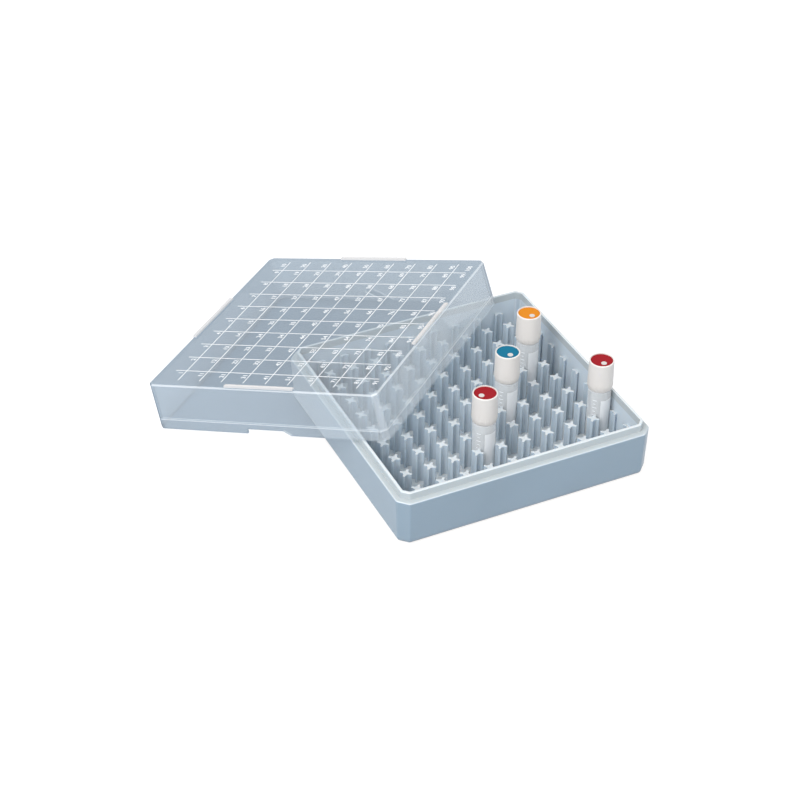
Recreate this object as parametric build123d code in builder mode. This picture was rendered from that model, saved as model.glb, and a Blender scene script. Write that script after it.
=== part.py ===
# Cryogenic storage box for one hundred vials: a moulded base with star posts, its clear lid set
# down askew against it, and four capped vials standing in their wells. Millimetres. +Z is up,
# +X runs along the base's front edge, and the origin is the middle of the base's underside.
from math import atan, cos, degrees, radians, sin, sqrt, tan
import os

from build123d import *

os.makedirs("parts", exist_ok=True)

# Wells and posts
wells = 10  # along each side
well_spacing = 12.45
well_gap = 0.3  # between a tube and the four post arms that point at it
arm_width = 1.0  # of an arm's end
waist = 1.45  # from a post's axis to the bottom of the flutes between its arms
flute_width = 1.0  # of a flute's flat bottom
post_height = 17.0
wall_room = 5.75  # from the outermost wells' axes to the tray's wall, at the floor

# Base
floor = 1.6
cavity_lean = 0.125  # how far the tray's wall leans out on its way up
rim_wall = 1.3
rim_height = 3.8  # above the ledge
ledge_width = 2.8  # outside the rim
ledge_height = 25.0
flank_lean = 0.9  # how far the flanks lean out between the foot and the ledge
foot_radius = 3.4
base_corner = 4.8  # leg of the corner's cut, at the ledge
corner_blend = 1.2

# Lid
skirt_gap = 0.25  # all round the base's rim
skirt_wall = 1.15
rebate_gap = 1.2  # from the top of the rim to the step inside the closed lid
lid_wall = 1.25
lid_top = 1.4
lid_height = 24.6
lid_lean = 1.1  # how far the walls lean in on their way up
lid_corner = 2.8
lid_edge = 1.0  # rounding of the top edge
bar_length = 38.0
bar_width = 1.8
bar_height = 1.0
bar_inset = 0.3  # from the top's outer edge
notch_depth = 2.4
notch_start = -12.2  # along each wall, from its middle
notch_end = 12.0
notch_slope = 4.0  # run of the notch's sloped end

# The lid's rest: its left edge lies on the table, and its skirt leans on the rim's left and back
lid_turn = -50.4
lid_tilt = 14.7
lid_gap = 0.25

# Vials
tube_radius = 5.6
tube_height = 42.4
shoulder_height = 29.7
neck_radius = 4.7
bore_radius = 3.75
bore_floor = 3.6
bore_round = 2.2  # height of the bore's rounded bottom
shoulder_bevel = 0.4
foot_wall = 1.3
foot_depth = 2.4
seal_thickness = 0.8
seal_width = 1.3
cap_radius = 6.2  # at its widest
cap_flare = 0.2
cap_drop = 0.35  # gap between the cap's lower end and the tube's shoulder
cap_heel = 2.4  # rounding of the cap's lower end
cap_heel_width = 0.5
thread_gap = 0.55  # between the neck and the cap's bore, where the threads run
cap_web = 0.9
cap_lip = 0.6
insert_thickness = 0.85
insert_gap = 0.05
lip_height = 0.5  # of the lip above the insert
spot_radius = 1.35
spot_height = 0.25
spot_offset = 2.5

# Each vial's column and row, counted from the front left, and the bearing of its insert's spot
vial_places = {
    "vial_1": (4, 2, -160.0),
    "vial_2": (9, 2, -96.0),
    "vial_3": (6, 4, -88.0),
    "vial_4": (8, 6, -82.0),
}

# Sizes that follow from those above
post_reach = well_spacing / sqrt(2) - tube_radius - well_gap
rim_top = ledge_height + rim_height
cavity_half = (wells - 1) / 2 * well_spacing + wall_room + cavity_lean
rim_half = cavity_half + rim_wall
base_half = rim_half + ledge_width
lid_half = rim_half + skirt_gap + skirt_wall
top_half = lid_half - lid_lean


def inset_corner(corner, inset):
    """The leg of a cut corner on an outline that runs inside another."""
    return corner - inset * (2 - sqrt(2))


def cut_square(plane, half, corner, blend):
    """A square outline on a plane, with its corners cut and their ends rounded."""
    with BuildSketch(plane) as outline:
        Rectangle(2 * half, 2 * half)
        chamfer(outline.vertices(), corner)
        fillet(outline.vertices(), blend)
    return outline.sketch


def star():
    """A post's section: four arms towards the wells around it, with a flute between each two."""
    near, far = (
        Vector(post_reach, side * arm_width / 2).rotate(Axis.Z, 45) for side in (-1, 1)
    )
    quarter = [Vector(waist, -flute_width / 2), Vector(waist, flute_width / 2), near, far]
    with BuildSketch() as section:
        with BuildLine():
            Polyline(*(point.rotate(Axis.Z, 90 * side) for side in range(4) for point in quarter), close=True)
        make_face()
    return section.sketch


# Base: flanks, ledge and rim
with BuildPart() as base:
    extrude(
        cut_square(Plane.XY, base_half - flank_lean, inset_corner(base_corner, flank_lean), corner_blend),
        amount=ledge_height,
        taper=-degrees(atan(flank_lean / ledge_height)),
    )
    fillet(base.faces().sort_by(Axis.Z)[0].edges(), foot_radius)
    fillet(base.faces().sort_by(Axis.Z)[-1].edges(), ledge_width / 4)
    rim_corner = inset_corner(base_corner, ledge_width)
    extrude(
        cut_square(Plane.XY.offset(floor), rim_half, rim_corner, corner_blend),
        amount=rim_top - floor,
    )
    chamfer(base.faces().sort_by(Axis.Z)[-1].edges(), rim_wall / 5)

    # the tray, open upwards
    cavity_corner = inset_corner(base_corner, base_half - cavity_half)
    extrude(
        cut_square(Plane.XY.offset(floor), cavity_half - cavity_lean, cavity_corner, corner_blend),
        amount=rim_top,
        taper=-degrees(atan(cavity_lean / (rim_top - floor))),
        mode=Mode.SUBTRACT,
    )

    # star posts between the wells, and the half posts along the walls
    with BuildSketch(Plane.XY.offset(floor)) as posts:
        with GridLocations(well_spacing, well_spacing, wells + 1, wells + 1):
            add(star())
        with BuildSketch(mode=Mode.INTERSECT) as tray:
            Rectangle(2 * cavity_half + rim_wall, 2 * cavity_half + rim_wall)
            chamfer(tray.vertices(), 2 * post_reach)
    extrude(amount=post_height)
base.part.label = "base"

# Lid: where it rests, worked out from the two rims that carry its skirt
skirt_half = lid_half - skirt_wall
turn = radians(lid_turn)
tilt = radians(lid_tilt)
reach = (rim_top + lid_gap) / tan(tilt)
lid_x = Vector(cos(turn) * cos(tilt), sin(turn) * cos(tilt), sin(tilt))
lid_up = Vector(-cos(turn) * sin(tilt), -sin(turn) * sin(tilt), cos(tilt))
edge_middle = Vector(
    -rim_half - reach * cos(turn) - skirt_half * sin(turn),
    rim_half - reach * sin(turn) - skirt_half * cos(turn),
    0,
)
lid_frame = Plane(origin=edge_middle + lid_x * lid_half, x_dir=lid_x, z_dir=lid_up)
lid_taper = degrees(atan(lid_lean / lid_height))

with BuildPart() as lid:
    extrude(
        cut_square(lid_frame, lid_half, lid_corner, corner_blend),
        amount=lid_height,
        taper=lid_taper,
    )
    fillet(lid.faces().sort_by(Axis(lid_frame.origin, lid_up))[-1].edges(), lid_edge)

    # bars on the top that steady a box stacked above
    with BuildSketch(lid_frame.offset(lid_height - lid_top)):
        with PolarLocations(top_half - bar_inset - bar_width / 2, 4):
            Rectangle(bar_width, bar_length)
    extrude(amount=lid_top + bar_height)

    # the hollow, and the step that clears the base's rim
    extrude(
        cut_square(lid_frame, lid_half - lid_wall, inset_corner(lid_corner, lid_wall), corner_blend),
        amount=lid_height - lid_top,
        taper=lid_taper,
        mode=Mode.SUBTRACT,
    )
    extrude(
        cut_square(lid_frame, skirt_half, inset_corner(lid_corner, skirt_wall), corner_blend),
        amount=rim_height + rebate_gap,
        mode=Mode.SUBTRACT,
    )

    # a shallow notch in the lower edge of each wall
    for side in range(4):
        wall = lid_frame.rotated((0, 0, 90 * side))
        face = Plane(origin=wall.origin - wall.y_dir * lid_half, x_dir=wall.x_dir, z_dir=-wall.y_dir)
        with BuildSketch(face):
            with BuildLine():
                Polyline(
                    (notch_start, -lid_top),
                    (notch_start, notch_depth),
                    (notch_end - notch_slope, notch_depth),
                    (notch_end, 0),
                    (notch_end, -lid_top),
                    close=True,
                )
            make_face()
        extrude(amount=-2 * lid_wall, mode=Mode.SUBTRACT)
lid.part.label = "lid"


def half_section(frame, points):
    """The upright face beside a frame's axis that its radii and heights draw, to be turned."""
    with BuildSketch(Plane(origin=frame.origin, x_dir=(1, 0, 0), z_dir=(0, -1, 0))) as section:
        with BuildLine():
            Polyline(*points, close=True)
        make_face()
    return section.sketch


# Heights of a vial's pieces above the tray's floor
seal_z = tube_height
web_z = seal_z + seal_thickness
insert_z = web_z + cap_web
lip_z = insert_z + insert_thickness + lip_height
heel_z = shoulder_height + cap_drop
cap_bore = neck_radius + thread_gap
heel_radius = cap_bore + cap_heel_width
lip_radius = cap_radius - cap_flare
recess_radius = lip_radius - cap_lip


def tube(frame):
    """A tube with a hollow foot, a narrower neck and a round-bottomed bore."""
    with BuildPart() as body:
        profile = half_section(
            frame,
            [
                (0, foot_depth),
                (tube_radius - foot_wall, foot_depth),
                (tube_radius - foot_wall, 0),
                (tube_radius, 0),
                (tube_radius, shoulder_height - shoulder_bevel),
                (tube_radius - shoulder_bevel, shoulder_height),
                (neck_radius, shoulder_height),
                (neck_radius, tube_height),
                (bore_radius, tube_height),
                (bore_radius, bore_floor + bore_round),
                (0.6 * bore_radius, bore_floor + bore_round / 4),
                (0, bore_floor),
            ],
        )
        revolve(profile, axis=Axis(frame.origin, (0, 0, 1)))
    return body.part


def cap(frame):
    """A cap shell: a flared skirt drawn in at its lower end, a web, and a lip round the insert."""
    with BuildPart() as shell:
        profile = half_section(
            frame,
            [
                (0, web_z),
                (cap_bore, web_z),
                (cap_bore, heel_z),
                (heel_radius, heel_z),
                (cap_radius - 0.15, heel_z + 0.45 * cap_heel),
                (cap_radius, heel_z + cap_heel),
                (lip_radius, lip_z - 0.25),
                (lip_radius - 0.25, lip_z),
                (recess_radius, lip_z),
                (recess_radius, insert_z),
                (0, insert_z),
            ],
        )
        revolve(profile, axis=Axis(frame.origin, (0, 0, 1)))
    return shell.part


def seal(frame):
    """The washer between the tube's mouth and the cap's web."""
    with BuildPart() as washer:
        with BuildSketch(frame.offset(seal_z)):
            Circle(neck_radius)
            Circle(neck_radius - seal_width, mode=Mode.SUBTRACT)
        extrude(amount=seal_thickness)
    return washer.part


def insert(frame, bearing):
    """The coloured disc in the top of the cap, with its small raised spot."""
    with BuildPart() as disc:
        with BuildSketch(frame.offset(insert_z)):
            Circle(recess_radius - insert_gap)
        extrude(amount=insert_thickness)
        with BuildSketch(frame.offset(insert_z)):
            with Locations((spot_offset * cos(radians(bearing)), spot_offset * sin(radians(bearing)))):
                Circle(spot_radius)
        extrude(amount=insert_thickness + spot_height)
    return disc.part


pieces = [base.part, lid.part]
for vial, (column, row, bearing) in vial_places.items():
    place = ((column - (wells - 1) / 2) * well_spacing, (row - (wells - 1) / 2) * well_spacing, floor)
    frame = Plane(origin=place)
    for name, piece in (
        ("tube", tube(frame)),
        ("seal", seal(frame)),
        ("cap", cap(frame)),
        ("insert", insert(frame, bearing)),
    ):
        piece.label = f"{vial}_{name}"
        pieces.append(piece)

for piece in pieces:
    export_step(piece, f"parts/{piece.label}.step")
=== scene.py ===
# Cryogenic storage box with its lid leaning askew on it and four capped vials in the wells,
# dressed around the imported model. Lengths are written in millimetres and scaled by mm.
from math import cos, pi, radians, sin, tan

import bmesh
import bpy
from mathutils import Euler, Matrix, Vector


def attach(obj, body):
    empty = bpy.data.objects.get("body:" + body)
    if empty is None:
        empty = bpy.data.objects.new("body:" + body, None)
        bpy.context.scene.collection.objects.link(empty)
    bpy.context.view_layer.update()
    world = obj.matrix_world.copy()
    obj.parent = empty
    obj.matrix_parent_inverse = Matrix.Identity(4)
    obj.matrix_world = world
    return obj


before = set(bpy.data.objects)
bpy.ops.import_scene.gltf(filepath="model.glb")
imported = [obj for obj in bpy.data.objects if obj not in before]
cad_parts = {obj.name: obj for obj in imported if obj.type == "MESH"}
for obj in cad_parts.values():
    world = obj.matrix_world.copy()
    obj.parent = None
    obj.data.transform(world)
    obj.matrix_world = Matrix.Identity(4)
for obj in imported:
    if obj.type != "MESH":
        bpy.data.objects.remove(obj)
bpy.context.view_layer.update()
mm = 0.001

# The view: the photograph looks down on the box from in front and a little to its left, from
# about a metre away through a long lens, with a trace of roll.
view_azimuth, view_elevation, view_roll = radians(25.371), radians(36.523), radians(0.23)
view_target = Vector((-17.312, 37.73, 0)) * mm
view_distance = 1002.5 * mm
view_back = Vector(
    (
        -sin(view_azimuth) * cos(view_elevation),
        -cos(view_azimuth) * cos(view_elevation),
        sin(view_elevation),
    )
)
camera = bpy.data.objects.new("camera", bpy.data.cameras.new("camera"))
camera.data.lens = 90.06
camera.data.sensor_width = 36
camera.matrix_world = (
    Matrix.Translation(view_target + view_back * view_distance)
    @ view_back.to_track_quat("Z", "Y").to_matrix().to_4x4()
    @ Matrix.Rotation(view_roll, 4, "Z")
)
bpy.context.scene.collection.objects.link(camera)
bpy.context.scene.camera = camera


def new_material(name):
    """An empty node material, with its node and link makers and its output."""
    material = bpy.data.materials.new(name)
    material.use_nodes = True
    tree = material.node_tree
    tree.nodes.clear()
    output = tree.nodes.new("ShaderNodeOutputMaterial")
    return material, tree, output


def feed(tree, socket, value):
    """Gives a socket a number, a colour or another node's output."""
    if isinstance(value, bpy.types.NodeSocket):
        tree.links.new(value, socket)
    else:
        socket.default_value = value


def math(tree, operation, *values):
    """The result of a math node."""
    node = tree.nodes.new("ShaderNodeMath")
    node.operation = operation
    for socket, value in zip(node.inputs, values):
        feed(tree, socket, value)
    return node.outputs[0]


def ramp(tree, value, low, high):
    """0 at low and before it, 1 at high and past it; low may be the larger."""
    node = tree.nodes.new("ShaderNodeMapRange")
    node.inputs["From Min"].default_value = low
    node.inputs["From Max"].default_value = high
    tree.links.new(value, node.inputs["Value"])
    return node.outputs["Result"]


def mixed(tree, factor, first, second):
    """A colour that goes from the first to the second with the factor."""
    node = tree.nodes.new("ShaderNodeMix")
    node.data_type = "RGBA"
    feed(tree, node.inputs["Factor"], factor)
    feed(tree, node.inputs["A"], first)
    feed(tree, node.inputs["B"], second)
    return node.outputs["Result"]


# The studio: a white table top that runs out of the picture, a white sky, one broad soft lamp
# high on the left and a weaker one in front, all at a plain level.
def seen_directly(tree):
    """1 where the camera looks with nothing in between, and in mirrors; 0 for all else."""
    path = tree.nodes.new("ShaderNodeLightPath")
    nothing_between = math(tree, "LESS_THAN", path.outputs["Transparent Depth"], 0.5)
    direct = math(tree, "MULTIPLY", path.outputs["Is Camera Ray"], nothing_between)
    return math(tree, "MAXIMUM", direct, path.outputs["Is Glossy Ray"])


table_half = 4000 * mm
table_mesh = bmesh.new()
bmesh.ops.create_grid(table_mesh, x_segments=1, y_segments=1, size=table_half)
table = bpy.data.objects.new("table", bpy.data.meshes.new("table"))
table_mesh.to_mesh(table.data)
table_mesh.free()
bpy.context.scene.collection.objects.link(table)

table_finish, tree, output = new_material("table_white")
paper = tree.nodes.new("ShaderNodeBsdfDiffuse")
paper.inputs["Color"].default_value = (0.23, 0.29, 0.35, 1)
glow = tree.nodes.new("ShaderNodeEmission")
glow.inputs["Color"].default_value = (0.83, 0.77, 0.71, 1)
glow.inputs["Strength"].default_value = 1
lifted = tree.nodes.new("ShaderNodeAddShader")
tree.links.new(paper.outputs[0], lifted.inputs[0])
tree.links.new(glow.outputs[0], lifted.inputs[1])
by_ray = tree.nodes.new("ShaderNodeMixShader")
tree.links.new(seen_directly(tree), by_ray.inputs[0])
tree.links.new(paper.outputs[0], by_ray.inputs[1])
tree.links.new(lifted.outputs[0], by_ray.inputs[2])
tree.links.new(by_ray.outputs[0], output.inputs["Surface"])
table.data.materials.append(table_finish)

sky = bpy.data.worlds.new("white_sky")
bpy.context.scene.world = sky
sky.use_nodes = True
tree = sky.node_tree
tree.nodes.clear()
lighting = tree.nodes.new("ShaderNodeBackground")
lighting.inputs["Color"].default_value = (0.97, 0.985, 1, 1)
lighting.inputs["Strength"].default_value = 0.9
backdrop = tree.nodes.new("ShaderNodeBackground")
backdrop.inputs["Color"].default_value = (1, 1, 1, 1)
backdrop.inputs["Strength"].default_value = 1
by_ray = tree.nodes.new("ShaderNodeMixShader")
tree.links.new(seen_directly(tree), by_ray.inputs[0])
tree.links.new(lighting.outputs[0], by_ray.inputs[1])
tree.links.new(backdrop.outputs[0], by_ray.inputs[2])
output = tree.nodes.new("ShaderNodeOutputWorld")
tree.links.new(by_ray.outputs[0], output.inputs["Surface"])

for name, place, size, power in (
    ("key_lamp", (-1200, -600, 1300), 1100, 27),
    ("front_lamp", (300, -1400, 900), 900, 6),
):
    lamp = bpy.data.objects.new(name, bpy.data.lights.new(name, "AREA"))
    lamp.data.shape = "SQUARE"
    lamp.data.size = size * mm
    lamp.data.energy = power
    lamp.location = Vector(place) * mm
    lamp.rotation_euler = (lamp.location - view_target).to_track_quat("Z", "Y").to_euler()
    bpy.context.scene.collection.objects.link(lamp)


# The base: one injection moulding in pale blue-grey polycarbonate, its flanks polished in the
# mould. Painted light: its colour is paler on the posts' tops and all up-facing faces, inside
# it and most on the inner walls, and on the rim, and painted highlight lines run along the
# ledge's edge and the rim's top.
def new_group(name, inputs, outputs):
    """An empty node group with its sockets, its input node and its output node."""
    group = bpy.data.node_groups.new(name, "ShaderNodeTree")
    for in_out, sockets in (("INPUT", inputs), ("OUTPUT", outputs)):
        for socket, kind in sockets.items():
            group.interface.new_socket(socket, in_out=in_out, socket_type=f"NodeSocket{kind}")
    return group, group.nodes.new("NodeGroupInput"), group.nodes.new("NodeGroupOutput")


def moulded_surface():
    """A node group with the marks of a moulding: slow shrink waves, flow tone and fine grain."""
    group, given, result = new_group(
        "moulded_surface",
        {"Vector": "Vector", "Colour": "Color", "Tone": "Float", "Polish": "Float", "Grain": "Float"},
        {"Colour": "Color", "Roughness": "Float", "Height": "Float"},
    )
    nodes, links = group.nodes, group.links

    flow = nodes.new("ShaderNodeTexNoise")
    flow.inputs["Scale"].default_value = 28
    flow.inputs["Detail"].default_value = 3
    links.new(given.outputs["Vector"], flow.inputs["Vector"])
    waves = nodes.new("ShaderNodeTexNoise")
    waves.inputs["Scale"].default_value = 90
    waves.inputs["Detail"].default_value = 1
    links.new(given.outputs["Vector"], waves.inputs["Vector"])
    grain = nodes.new("ShaderNodeTexNoise")
    grain.inputs["Scale"].default_value = 2600
    grain.inputs["Detail"].default_value = 2
    links.new(given.outputs["Vector"], grain.inputs["Vector"])

    flow_tone = math(group, "SUBTRACT", flow.outputs["Fac"], 0.5)
    tint = nodes.new("ShaderNodeVectorMath")
    tint.operation = "SCALE"
    links.new(given.outputs["Colour"], tint.inputs[0])
    links.new(math(group, "MULTIPLY_ADD", flow_tone, given.outputs["Tone"], 1), tint.inputs["Scale"])
    links.new(tint.outputs[0], result.inputs["Colour"])
    rougher = math(group, "MULTIPLY_ADD", grain.outputs["Fac"], 0.12, given.outputs["Polish"])
    links.new(rougher, result.inputs["Roughness"])
    relief = math(
        group, "MULTIPLY_ADD", grain.outputs["Fac"], given.outputs["Grain"], waves.outputs["Fac"]
    )
    links.new(relief, result.inputs["Height"])
    return group


surface_group = moulded_surface()


def plastic(name, colour, tone, polish, grain, bump):
    """A moulded plastic that reads the surface group; its shader is returned for more."""
    material, tree, output = new_material(name)
    place = tree.nodes.new("ShaderNodeTexCoord")
    marks = tree.nodes.new("ShaderNodeGroup")
    marks.node_tree = surface_group
    tree.links.new(place.outputs["Object"], marks.inputs["Vector"])
    marks.inputs["Colour"].default_value = (*colour, 1)
    marks.inputs["Tone"].default_value = tone
    marks.inputs["Polish"].default_value = polish
    marks.inputs["Grain"].default_value = grain
    relief = tree.nodes.new("ShaderNodeBump")
    relief.inputs["Strength"].default_value = bump
    relief.inputs["Distance"].default_value = 0.1 * mm
    shader = tree.nodes.new("ShaderNodeBsdfPrincipled")
    tree.links.new(marks.outputs["Height"], relief.inputs["Height"])
    tree.links.new(marks.outputs["Colour"], shader.inputs["Base Color"])
    tree.links.new(marks.outputs["Roughness"], shader.inputs["Roughness"])
    tree.links.new(relief.outputs["Normal"], shader.inputs["Normal"])
    tree.links.new(shader.outputs[0], output.inputs["Surface"])
    return material, tree, shader, output


def finish(node, material):
    """Gives a CAD node one material, in place of its plain ones."""
    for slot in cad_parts[node].material_slots:
        slot.material = material


def place_and_normal(tree):
    """A point's place and its normal, each split into X, Y and Z."""
    place = tree.nodes.new("ShaderNodeTexCoord")
    point = tree.nodes.new("ShaderNodeSeparateXYZ")
    tree.links.new(place.outputs["Object"], point.inputs[0])
    normal = tree.nodes.new("ShaderNodeSeparateXYZ")
    tree.links.new(place.outputs["Normal"], normal.inputs[0])
    return point.outputs, normal.outputs


ledge_top, rim_half, rim_top = 25.0 * mm, 63.2 * mm, 28.8 * mm
inner_wall = 61.1 * mm
base_plastic, tree, shader, output = plastic(
    "base_plastic", (0.26, 0.335, 0.4), tone=0.16, polish=0.3, grain=0.3, bump=0.25
)
shader.inputs["IOR"].default_value = 1.58
point, normal = place_and_normal(tree)
outward = math(
    tree, "MAXIMUM", math(tree, "ABSOLUTE", point["X"]), math(tree, "ABSOLUTE", point["Y"])
)
# Painted light: up-facing faces, the posts' tops among them, get a paler colour, as if lit from above.
upward = ramp(tree, normal["Z"], 0.2, 0.9)
# Painted light: everything inside the outer flank gets a paler colour, palest on the inner walls, for
# light that gathers in the plastic.
on_wall = ramp(tree, outward, inner_wall, inner_wall + 0.3 * mm)
inside_painted_light = mixed(tree, on_wall, (0.45, 0.52, 0.58, 1), (0.55, 0.62, 0.68, 1))
within = ramp(tree, outward, rim_half - 0.6 * mm, rim_half - 1 * mm)
colour = mixed(tree, within, shader.inputs["Base Color"].links[0].from_socket, inside_painted_light)
colour = mixed(tree, upward, colour, (0.54, 0.58, 0.605, 1))
# Painted light: the rim above the ledge gets a paler colour.
on_rim = ramp(tree, point["Z"], ledge_top - 0.15 * mm, ledge_top - 0.05 * mm)
colour = mixed(tree, on_rim, colour, (0.45, 0.49, 0.505, 1))
# Painted highlight: whitish lines along the ledge's outer edge and along the rim's top.
under_ledge = math(
    tree,
    "MULTIPLY",
    ramp(tree, point["Z"], ledge_top - 0.6 * mm, ledge_top - 0.4 * mm),
    ramp(tree, point["Z"], ledge_top + 0.1 * mm, ledge_top + 0.02 * mm),
)
on_flank = ramp(tree, outward, rim_half - 0.3 * mm, rim_half - 0.1 * mm)
ledge_highlight_mask = math(tree, "MULTIPLY", on_flank, under_ledge)
ledge_highlight_mask = math(tree, "MULTIPLY", ledge_highlight_mask, math(tree, "SUBTRACT", 1, upward))
rim_highlight_mask = ramp(tree, point["Z"], rim_top - 0.3 * mm, rim_top - 0.1 * mm)
painted_edge_highlight = math(tree, "MULTIPLY", math(tree, "MAXIMUM", ledge_highlight_mask, rim_highlight_mask), 0.4)
colour = mixed(tree, painted_edge_highlight, colour, (0.75, 0.78, 0.8, 1))
tree.links.new(colour, shader.inputs["Base Color"])
shader.inputs["Subsurface Weight"].default_value = 0.3
shader.inputs["Subsurface Radius"].default_value = (1.5 * mm, 2 * mm, 2.5 * mm)
shader.inputs["Subsurface Scale"].default_value = 1
finish("base", base_plastic)

# The lid: one thin-walled moulding in clear polycarbonate with the same pale blue-grey tint,
# through which the base's posts and the table show. It rests askew: its left edge lies on the
# table and its skirt leans on the base's rim. Painted light: its edges and stacking bars are
# whiter with painted highlights, its walls carry a painted sheen, and its rounded edges facing
# its left are painted darker.
lid_half, skirt_half, lid_height = 64.6 * mm, 63.45 * mm, 24.6 * mm
lid_gap, lid_step = 0.25 * mm, 5.0 * mm
lid_turn, lid_tilt = radians(-50.4), radians(14.7)
lid_reach = (rim_top + lid_gap) / tan(lid_tilt)
lid_edge = Vector(
    (
        -rim_half - lid_reach * cos(lid_turn) - skirt_half * sin(lid_turn),
        rim_half - lid_reach * sin(lid_turn) - skirt_half * cos(lid_turn),
        0,
    )
)
lid_frame = (
    Matrix.Translation(lid_edge)
    @ Euler((0, -lid_tilt, lid_turn)).to_matrix().to_4x4()
    @ Matrix.Translation((lid_half, 0, 0))
)


def lid_painted_light():
    """A node group: where the lid is painted lighter or darker, worked out in the lid's own axes."""
    group, given, result = new_group(
        "lid_painted_light",
        {"Vector": "Vector", "Normal": "Vector"},
        {"Edge": "Float", "Dark": "Float", "Bar": "Float", "Wall": "Float"},
    )

    def along(source, axis):
        """How far a vector points along one of the lid's own axes."""
        dot = group.nodes.new("ShaderNodeVectorMath")
        dot.operation = "DOT_PRODUCT"
        dot.inputs[1].default_value = lid_frame.col[axis].to_3d()
        group.links.new(given.outputs[source], dot.inputs[0])
        return dot.outputs["Value"]

    slope = [along("Normal", axis) for axis in range(3)]
    start = [lid_frame.translation.dot(lid_frame.col[axis].to_3d()) for axis in range(3)]
    offset = [math(group, "SUBTRACT", along("Vector", axis), start[axis]) for axis in range(3)]
    size = [math(group, "ABSOLUTE", value) for value in slope]
    flattest = math(group, "MAXIMUM", math(group, "MAXIMUM", size[0], size[1]), size[2])
    rounded = ramp(group, flattest, 0.985, 0.87)
    # Painted shade: rounded edges facing the lid's left are darker.
    dark = math(group, "MULTIPLY", rounded, ramp(group, slope[0], -0.3, -0.5))
    group.links.new(dark, result.inputs["Dark"])
    # Painted highlight: the stacking bars above the top face.
    group.links.new(
        ramp(group, offset[2], lid_height + 0.05 * mm, lid_height + 0.15 * mm), result.inputs["Bar"]
    )

    # Painted light: a sheen on the walls that grows towards the lid's right.
    wall = ramp(group, size[2], 0.6, 0.2)
    sideways = math(group, "MULTIPLY", size[0], offset[0])
    righter = math(group, "MULTIPLY_ADD", sideways, 1 / lid_half, 1)
    group.links.new(math(group, "MULTIPLY", wall, righter), result.inputs["Wall"])

    # Painted highlight: whiter on the top edge's rounding, the rounded corners, the skirt's low
    # down-facing faces and a line along the step outside.
    top_edge = math(
        group, "MULTIPLY", ramp(group, slope[2], 0.12, 0.3), ramp(group, slope[2], 0.985, 0.9)
    )
    facing_down = ramp(group, slope[2], -0.5, -0.9)
    lower = ramp(group, offset[2], 1.2 * lid_step, 1.1 * lid_step)
    step_line = math(
        group,
        "MULTIPLY",
        ramp(group, offset[2], lid_step - 0.1 * mm, lid_step),
        ramp(group, offset[2], lid_step + 0.5 * mm, lid_step + 0.4 * mm),
    )
    outside = math(
        group,
        "MULTIPLY_ADD",
        offset[0],
        slope[0],
        math(group, "MULTIPLY", offset[1], slope[1]),
    )
    step_line = math(group, "MULTIPLY", step_line, ramp(group, outside, 0, 10 * mm))
    white = math(group, "MAXIMUM", math(group, "MULTIPLY", rounded, 0.15), top_edge)
    for mask in (math(group, "MULTIPLY", facing_down, lower), step_line):
        white = math(group, "MAXIMUM", white, mask)
    group.links.new(
        math(group, "MULTIPLY", white, math(group, "SUBTRACT", 1, dark)), result.inputs["Edge"]
    )
    return group


lid_clear, tree, shader, output = plastic(
    "lid_clear", (0.8, 0.84, 0.87), tone=0.06, polish=0.08, grain=0.1, bump=0.12
)
place = tree.nodes.new("ShaderNodeTexCoord")
white = tree.nodes.new("ShaderNodeGroup")
white.node_tree = lid_painted_light()
tree.links.new(place.outputs["Object"], white.inputs["Vector"])
tree.links.new(place.outputs["Normal"], white.inputs["Normal"])
# A little haze over the whole lid, plus painted light: a sheen on the walls and highlights on the
# edges and bars, held back on the painted dark edges.
haze_and_painted_light = math(tree, "MULTIPLY_ADD", white.outputs["Wall"], 0.1, 0.05)
haze_and_painted_light = math(tree, "MULTIPLY_ADD", white.outputs["Edge"], 0.42, haze_and_painted_light)
haze_and_painted_light = math(tree, "MULTIPLY_ADD", white.outputs["Bar"], 0.45, haze_and_painted_light)
undarkened = math(tree, "SUBTRACT", 1, white.outputs["Dark"])
haze_and_painted_light = math(tree, "MULTIPLY", haze_and_painted_light, undarkened)
# Painted highlight: the bars' haze is a warm white.
bar_highlight_tint = mixed(
    tree,
    white.outputs["Bar"],
    shader.inputs["Base Color"].links[0].from_socket,
    (0.88, 0.83, 0.79, 1),
)
tree.links.new(bar_highlight_tint, shader.inputs["Base Color"])
see_through = tree.nodes.new("ShaderNodeBsdfTransparent")
# Painted shade: the see-through colour is darker on the rounded edges facing the lid's left.
tree.links.new(
    mixed(tree, white.outputs["Dark"], (0.93, 0.95, 0.965, 1), (0.58, 0.6, 0.65, 1)),
    see_through.inputs["Color"],
)
gloss = tree.nodes.new("ShaderNodeBsdfGlossy")
gloss.inputs["Roughness"].default_value = 0.06
mirror = tree.nodes.new("ShaderNodeFresnel")
mirror.inputs["IOR"].default_value = 1.585
inside = tree.nodes.new("ShaderNodeNewGeometry")
outer_face = math(tree, "SUBTRACT", 1, inside.outputs["Backfacing"])
mirrored = math(tree, "MULTIPLY", mirror.outputs[0], outer_face)
mirrored = math(tree, "MULTIPLY", mirrored, undarkened)
clear = tree.nodes.new("ShaderNodeMixShader")
tree.links.new(mirrored, clear.inputs[0])
tree.links.new(see_through.outputs[0], clear.inputs[1])
tree.links.new(gloss.outputs[0], clear.inputs[2])
hazy = tree.nodes.new("ShaderNodeMixShader")
tree.links.new(haze_and_painted_light, hazy.inputs[0])
tree.links.new(clear.outputs[0], hazy.inputs[1])
tree.links.new(shader.outputs[0], hazy.inputs[2])
tree.links.new(hazy.outputs[0], output.inputs["Surface"])
finish("lid", lid_clear)

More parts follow.
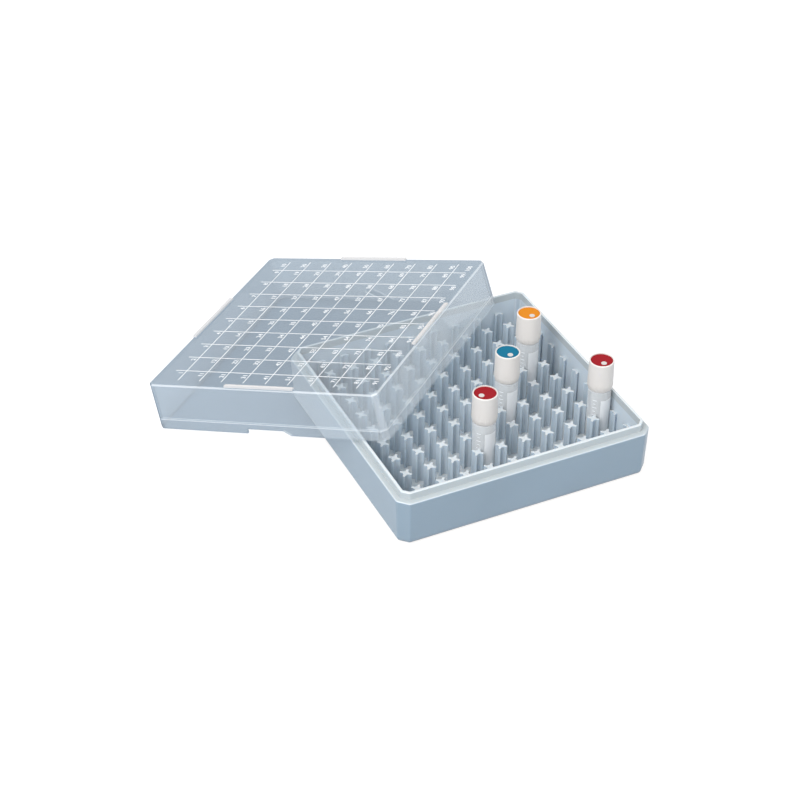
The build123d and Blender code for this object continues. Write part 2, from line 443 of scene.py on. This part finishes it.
# The lid's print: thin white lines between the hundred places and each place's number, screened
# on the top face. Columns run from front to back, and the numbers read the same way.
pitch, places = 12.45 * mm, 10
ink_lift, ink_depth = 0.02 * mm, 0.05 * mm
line_width = 0.46 * mm
ink = bmesh.new()


def ink_bar(x0, x1, y0, y1):
    """A bar of ink on the lid's top between two corners."""
    made = bmesh.ops.create_cube(ink, size=1)
    size = Vector((x1 - x0, y1 - y0, ink_depth))
    middle = Vector(((x0 + x1) / 2, (y0 + y1) / 2, lid_height + ink_lift + ink_depth / 2))
    bmesh.ops.transform(
        ink, verts=made["verts"], matrix=Matrix.Translation(middle) @ Matrix.Diagonal((*size, 1))
    )


row_start, row_end = -54.8 * mm, 59.0 * mm
column_start, column_end = -58.4 * mm, 58.4 * mm
print_shift = 1.4 * mm  # of the whole print towards the lid's right
for step in range(places - 1):
    line = (step - (places - 2) / 2) * pitch
    across = line + print_shift
    ink_bar(across - line_width / 2, across + line_width / 2, column_start, column_end)
    ink_bar(row_start, row_end, line - line_width / 2, line + line_width / 2)

number_height = 3.5 * mm
number_margin = 1.2 * mm
number_weight = 0.06 * mm
last_number = Vector((59.8, 56.8)) * mm
for place in range(places * places):
    column, row = divmod(place, places)
    words = bpy.data.curves.new("number", "FONT")
    words.body = str(place + 1)
    words.align_x = "RIGHT"
    words.size = number_height
    words.extrude = ink_depth / 2
    words.resolution_u = 3
    words.offset = number_weight
    number = bpy.data.objects.new("number", words)
    bpy.context.scene.collection.objects.link(number)
    bpy.context.view_layer.update()
    shape = bpy.data.meshes.new_from_object(number)
    corner = Vector(
        (
            min((column - (places - 2) / 2) * pitch + print_shift - number_margin, last_number.x),
            min((row - (places - 2) / 2) * pitch - number_margin, last_number.y),
            lid_height + ink_lift + ink_depth / 2,
        )
    )
    shape.transform(Matrix.Translation(corner) @ Matrix.Rotation(pi / 2, 4, "Z"))
    ink.from_mesh(shape)
    bpy.data.meshes.remove(shape)
    bpy.data.objects.remove(number)
    bpy.data.curves.remove(words)
bmesh.ops.transform(ink, verts=ink.verts, matrix=lid_frame)
print_mesh = bpy.data.meshes.new("lid_print")
ink.to_mesh(print_mesh)
ink.free()
lid_print = bpy.data.objects.new("lid_print", print_mesh)
bpy.context.scene.collection.objects.link(lid_print)
white_ink, tree, shader, output = plastic(
    "white_ink", (0.72, 0.735, 0.75), tone=0.05, polish=0.45, grain=0.5, bump=0.2
)
print_mesh.materials.append(white_ink)
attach(lid_print, "box")

# The tubes: frosted clear polypropylene, each with a moulded thread round its neck and, printed
# in white on its side, graduations and a strip to write on.
floor, shoulder_height = 1.6 * mm, 29.7 * mm
tube_radius, neck_radius, bore_radius = 5.6 * mm, 4.7 * mm, 5.25 * mm
thread_pitch, thread_height, thread_start = 3.2 * mm, 0.4 * mm, 33.4 * mm
thread_root, thread_crest, thread_sink = 1.0 * mm, 0.44 * mm, 0.1 * mm
vials = {
    "vial_1": (4, 2, "red"),
    "vial_2": (9, 2, "red"),
    "vial_3": (6, 4, "blue"),
    "vial_4": (8, 6, "orange"),
}


def vial_axis(vial):
    """Where a vial's axis meets the tray's floor."""
    column, row, colour = vials[vial]
    return Vector(((column - (places - 1) / 2) * pitch, (row - (places - 1) / 2) * pitch, floor))


def wound(shape, axis, section, bearing, angle, lead=0):
    """A closed section of (radius, height) corners swept round an axis, rising by lead a turn."""
    steps = max(1, round(angle / radians(10)))
    turned = Matrix.Translation(axis) @ Matrix.Rotation(bearing, 4, "Z")
    corners = [shape.verts.new(turned @ Vector((radius, 0, height))) for radius, height in section]
    face = shape.faces.new(corners)
    bmesh.ops.spin(
        shape,
        geom=corners + list(face.edges) + [face],
        cent=axis,
        axis=(0, 0, 1),
        dvec=(0, 0, lead * angle / (2 * pi) / steps),
        angle=angle,
        steps=steps,
        use_duplicate=False,
    )
    bmesh.ops.recalc_face_normals(shape, faces=shape.faces)


def thread(axis, root, crest, start, turns):
    """A trapezoid ridge wound up round an axis from a height, rooted at one radius."""
    ridge = bmesh.new()
    section = [
        (root, start - thread_root / 2),
        (crest, start - thread_crest / 2),
        (crest, start + thread_crest / 2),
        (root, start + thread_root / 2),
    ]
    wound(ridge, axis, section, 0, 2 * pi * turns, thread_pitch)
    return ridge


def make_piece(name, shape, material, body):
    """Ends a bmesh as a named piece of one material, riding on a body."""
    mesh = bpy.data.meshes.new(name)
    shape.to_mesh(mesh)
    shape.free()
    mesh.materials.append(material)
    piece = bpy.data.objects.new(name, mesh)
    bpy.context.scene.collection.objects.link(piece)
    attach(piece, body)


def wrapped(shape, axis, middle, bottom, span, height):
    """A thin patch of ink that follows the tube's side, centred on a bearing."""
    inner, outer = tube_radius + ink_lift, tube_radius + ink_lift + ink_depth
    section = [(inner, bottom), (outer, bottom), (outer, bottom + height), (inner, bottom + height)]
    wound(shape, axis, section, middle - span / 2, span)


tube_frosted, tree, shader, output = plastic(
    "tube_frosted", (0.82, 0.83, 0.84), tone=0.05, polish=0.22, grain=0.3, bump=0.2
)
shader.inputs["IOR"].default_value = 1.49
clear_view = tree.nodes.new("ShaderNodeBsdfTransparent")
clear_view.inputs["Color"].default_value = (0.97, 0.98, 0.985, 1)
frosting = tree.nodes.new("ShaderNodeLayerWeight")
frosting.inputs["Blend"].default_value = 0.35
cover = tree.nodes.new("ShaderNodeMapRange")
cover.inputs["To Min"].default_value = 0.4
cover.inputs["To Max"].default_value = 0.8
tree.links.new(frosting.outputs["Facing"], cover.inputs["Value"])
frosted_mix = tree.nodes.new("ShaderNodeMixShader")
tree.links.new(cover.outputs["Result"], frosted_mix.inputs[0])
tree.links.new(clear_view.outputs[0], frosted_mix.inputs[1])
tree.links.new(shader.outputs[0], frosted_mix.inputs[2])
tree.links.new(frosted_mix.outputs[0], output.inputs["Surface"])
strip_middle, strip_span = radians(-80), radians(66)
strip_bottom, strip_height = 5 * mm, 20 * mm
mark_middle, mark_start, mark_spacing, mark_width = radians(-143), 8 * mm, 2.1 * mm, 0.3 * mm
mark_spans = (radians(22), radians(12))
mark_count = 9
for vial in vials:
    finish(f"{vial}_tube", tube_frosted)
    axis = vial_axis(vial)
    ridge = thread(axis, neck_radius - thread_sink, neck_radius + thread_height, thread_start, 2)
    make_piece(f"{vial}_neck_thread", ridge, tube_frosted, "box")
    marks = bmesh.new()
    wrapped(marks, axis, strip_middle, strip_bottom, strip_span, strip_height)
    for step in range(mark_count):
        height = mark_start + step * mark_spacing
        wrapped(marks, axis, mark_middle, height, mark_spans[step % 2], mark_width)
    make_piece(f"{vial}_marks", marks, white_ink, "box")

# The caps: white polyethylene with a satin skin, finely ribbed where they draw in at the lower
# end, with the mating thread inside and a silicone washer that seals the tube's mouth.
cap_white, tree, shader, output = plastic(
    "cap_white", (0.68, 0.645, 0.615), tone=0.04, polish=0.38, grain=0.4, bump=0.2
)
shader.inputs["Subsurface Weight"].default_value = 0.2
shader.inputs["Subsurface Radius"].default_value = (1 * mm, 1 * mm, 1 * mm)
shader.inputs["Subsurface Scale"].default_value = 1


rib_count = 48
ribs_full, ribs_gone = floor + shoulder_height + 3.5 * mm, floor + shoulder_height + 5.5 * mm


def cap_ribs():
    """A node group: fine upright ribs round every well's axis, fading out above a height."""
    group, given, result = new_group("cap_ribs", {"Vector": "Vector"}, {"Height": "Float"})
    split = group.nodes.new("ShaderNodeSeparateXYZ")
    group.links.new(given.outputs[0], split.inputs[0])
    local = [
        math(group, "SUBTRACT", math(group, "WRAP", split.outputs[axis], pitch, 0), pitch / 2)
        for axis in ("X", "Y")
    ]
    bearing = math(group, "ARCTAN2", local[1], local[0])
    wave = math(group, "SINE", math(group, "MULTIPLY", bearing, rib_count))
    fade = ramp(group, split.outputs["Z"], ribs_gone, ribs_full)
    group.links.new(math(group, "MULTIPLY", wave, fade), result.inputs["Height"])
    return group


place = tree.nodes.new("ShaderNodeTexCoord")
ribs = tree.nodes.new("ShaderNodeGroup")
ribs.node_tree = cap_ribs()
tree.links.new(place.outputs["Object"], ribs.inputs["Vector"])
rib_relief = tree.nodes.new("ShaderNodeBump")
rib_relief.inputs["Strength"].default_value = 0.5
rib_relief.inputs["Distance"].default_value = 0.1 * mm
tree.links.new(ribs.outputs["Height"], rib_relief.inputs["Height"])
tree.links.new(shader.inputs["Normal"].links[0].from_socket, rib_relief.inputs["Normal"])
tree.links.new(rib_relief.outputs["Normal"], shader.inputs["Normal"])
seal_silicone, tree, shader, output = plastic(
    "seal_silicone", (0.75, 0.75, 0.73), tone=0.04, polish=0.5, grain=0.3, bump=0.2
)
for vial in vials:
    finish(f"{vial}_cap", cap_white)
    finish(f"{vial}_seal", seal_silicone)
    ridge = thread(
        vial_axis(vial),
        bore_radius + thread_sink,
        bore_radius - thread_height,
        thread_start - thread_pitch / 2,
        2.25,
    )
    make_piece(f"{vial}_cap_thread", ridge, cap_white, f"{vial}_cap")

# The inserts: coloured discs pressed into the tops of the caps, so that a vial's kind is seen
# from above; the raised spot beside the middle is coloured paler.
disc_top = 46.55 * mm
disc_colours = {"red": (0.27, 0.004, 0.01), "blue": (0, 0.13, 0.225), "orange": (0.6, 0.2, 0.006)}
discs = {}
for name, colour in disc_colours.items():
    discs[name], tree, shader, output = plastic(
        f"disc_{name}", colour, tone=0.1, polish=0.4, grain=0.4, bump=0.2
    )
    shader.inputs["Specular IOR Level"].default_value = 0.12
    point = place_and_normal(tree)[0]
    spot = ramp(tree, point["Z"], disc_top + 0.02 * mm, disc_top + 0.12 * mm)
    spotted = mixed(tree, spot, shader.inputs["Base Color"].links[0].from_socket, (0.55, 0.52, 0.5, 1))
    tree.links.new(spotted, shader.inputs["Base Color"])
for vial, (column, row, colour) in vials.items():
    finish(f"{vial}_insert", discs[colour])

bpy.context.scene.view_settings.view_transform = "Standard"
